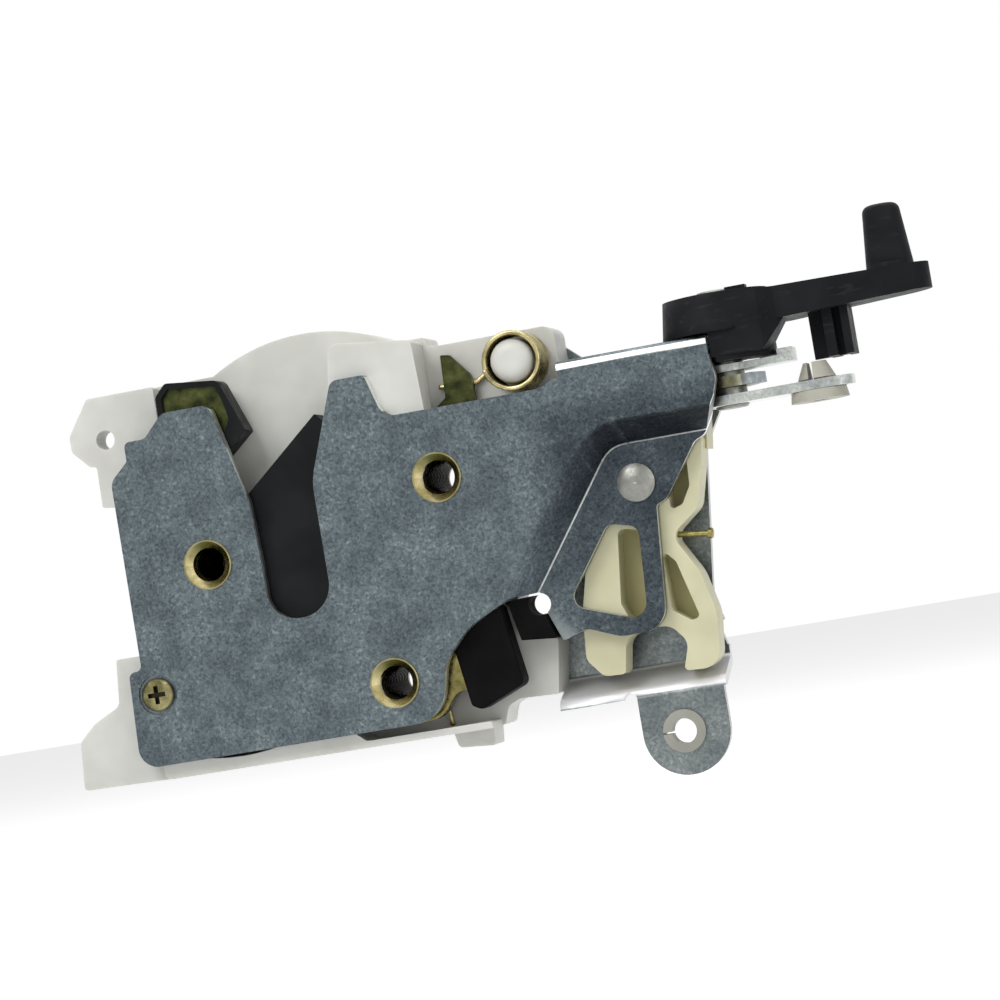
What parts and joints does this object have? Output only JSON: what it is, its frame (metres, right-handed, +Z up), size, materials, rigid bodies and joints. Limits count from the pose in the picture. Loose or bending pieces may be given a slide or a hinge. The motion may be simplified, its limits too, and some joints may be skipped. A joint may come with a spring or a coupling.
{
  "type": "door latch actuator",
  "caption": "Door latch with a turning claw and pawl behind a flanged face plate, and a crank lever on an upright pivot at the end of its flange that locks it.",
  "frame": {"origin": "centre of the claw's threaded bush at the front face of the face plate", "axes": "+X along the bottom edge of the face plate towards the levers, +Y from the plate back into the door, +Z up towards the flange and the striker mouth"},
  "size_m": [0.1869, 0.0267, 0.1049],
  "materials": {
    "zinc_plate": "mottled zinc passivate, blue-grey",
    "bracket_zinc": "zinc plated",
    "gold_zinc": "yellow chromate over zinc",
    "rivet_steel": "plain, satin",
    "spring_steel": "yellow chromate wire",
    "white_nylon": "satin, slightly translucent",
    "cream_nylon": "satin",
    "beige_plastic": "satin",
    "black_plastic": "fine matt",
    "black_rubber": "matt"
  },
  "bodies": {
    "latch_frame": {"face_plate": "zinc_plate", "housing": "white_nylon", "back_plate": "bracket_zinc", "claw_bush": "gold_zinc", "upper_bush": "gold_zinc", "pawl_bush": "gold_zinc", "housing_screw": "gold_zinc", "back_screws": "gold_zinc", "claw_bumper": "black_rubber", "pawl_stop": "black_plastic", "tab_grommet": "beige_plastic", "link_rivet": "rivet_steel", "lever_rivet": "rivet_steel", "stop_plate": "gold_zinc", "lever_washers": "rivet_steel", "claw_spring": "spring_steel", "pawl_spring": "spring_steel", "release_spring": "spring_steel"},
    "claw": {"claw_plate": "gold_zinc", "claw_cover": "black_plastic"},
    "pawl": {"pawl_plate": "gold_zinc", "pawl_cover": "black_plastic"},
    "release": {"release_lever": "gold_zinc"},
    "link": {"locking_link": "cream_nylon", "link_pin": "gold_zinc"},
    "lock": {"lock_lever": "black_plastic"},
    "outside": {"outside_lever": "bracket_zinc"},
    "clip": {"rod_clip": "beige_plastic"},
    "inside": {"inside_lever": "gold_zinc"}
  },
  "joints": [
    {"name": "claw_turn", "type": "hinge", "parent": "latch_frame", "child": "claw", "pos_m": [0, 0.006, 0], "axis": [0, 1, 0], "range_deg": [0, 66], "stiffness_Nm_per_rad": 0.05, "springref_deg": -17.19},
    {"name": "release_turn", "type": "hinge", "parent": "latch_frame", "child": "release", "pos_m": [0.0499, 0.01, 0.0093], "axis": [0, 1, 0], "range_deg": [-6.5, 10], "stiffness_Nm_per_rad": 0.2},
    {"name": "pawl_turn", "type": "hinge", "parent": "latch_frame", "child": "pawl", "pos_m": [0.0345, 0.006, -0.0296], "axis": [0, 1, 0], "range_deg": [-9.4, 6.2]},
    {"name": "lock_turn", "type": "hinge", "parent": "latch_frame", "child": "lock", "pos_m": [0.109, 0.0115, 0.02], "axis": [0, 0, 1], "range_deg": [0, 22]},
    {"name": "link_turn", "type": "hinge", "parent": "latch_frame", "child": "link", "pos_m": [0.0881, 0.013, 0.0017], "axis": [0, 1, 0], "range_deg": [-13, 0.2]},
    {"name": "outside_turn", "type": "hinge", "parent": "latch_frame", "child": "outside", "pos_m": [0.109, 0.0115, 0.02], "axis": [0, 0, 1], "range_deg": [0, 18]},
    {"name": "clip_turn", "type": "hinge", "parent": "outside", "child": "clip", "pos_m": [0.1266, 0.01, 0.0145], "axis": [0, 0, 1], "range_deg": [-60, 60]},
    {"name": "inside_turn", "type": "hinge", "parent": "latch_frame", "child": "inside", "pos_m": [0.109, 0.0115, 0.02], "axis": [0, 0, 1], "range_deg": [-12, 0]}
  ],
  "couplings": [
    {"joint": "pawl_turn", "follows": "release_turn", "ratio": -0.93},
    {"joint": "link_turn", "follows": "lock_turn", "ratio": -0.58}
  ]
}
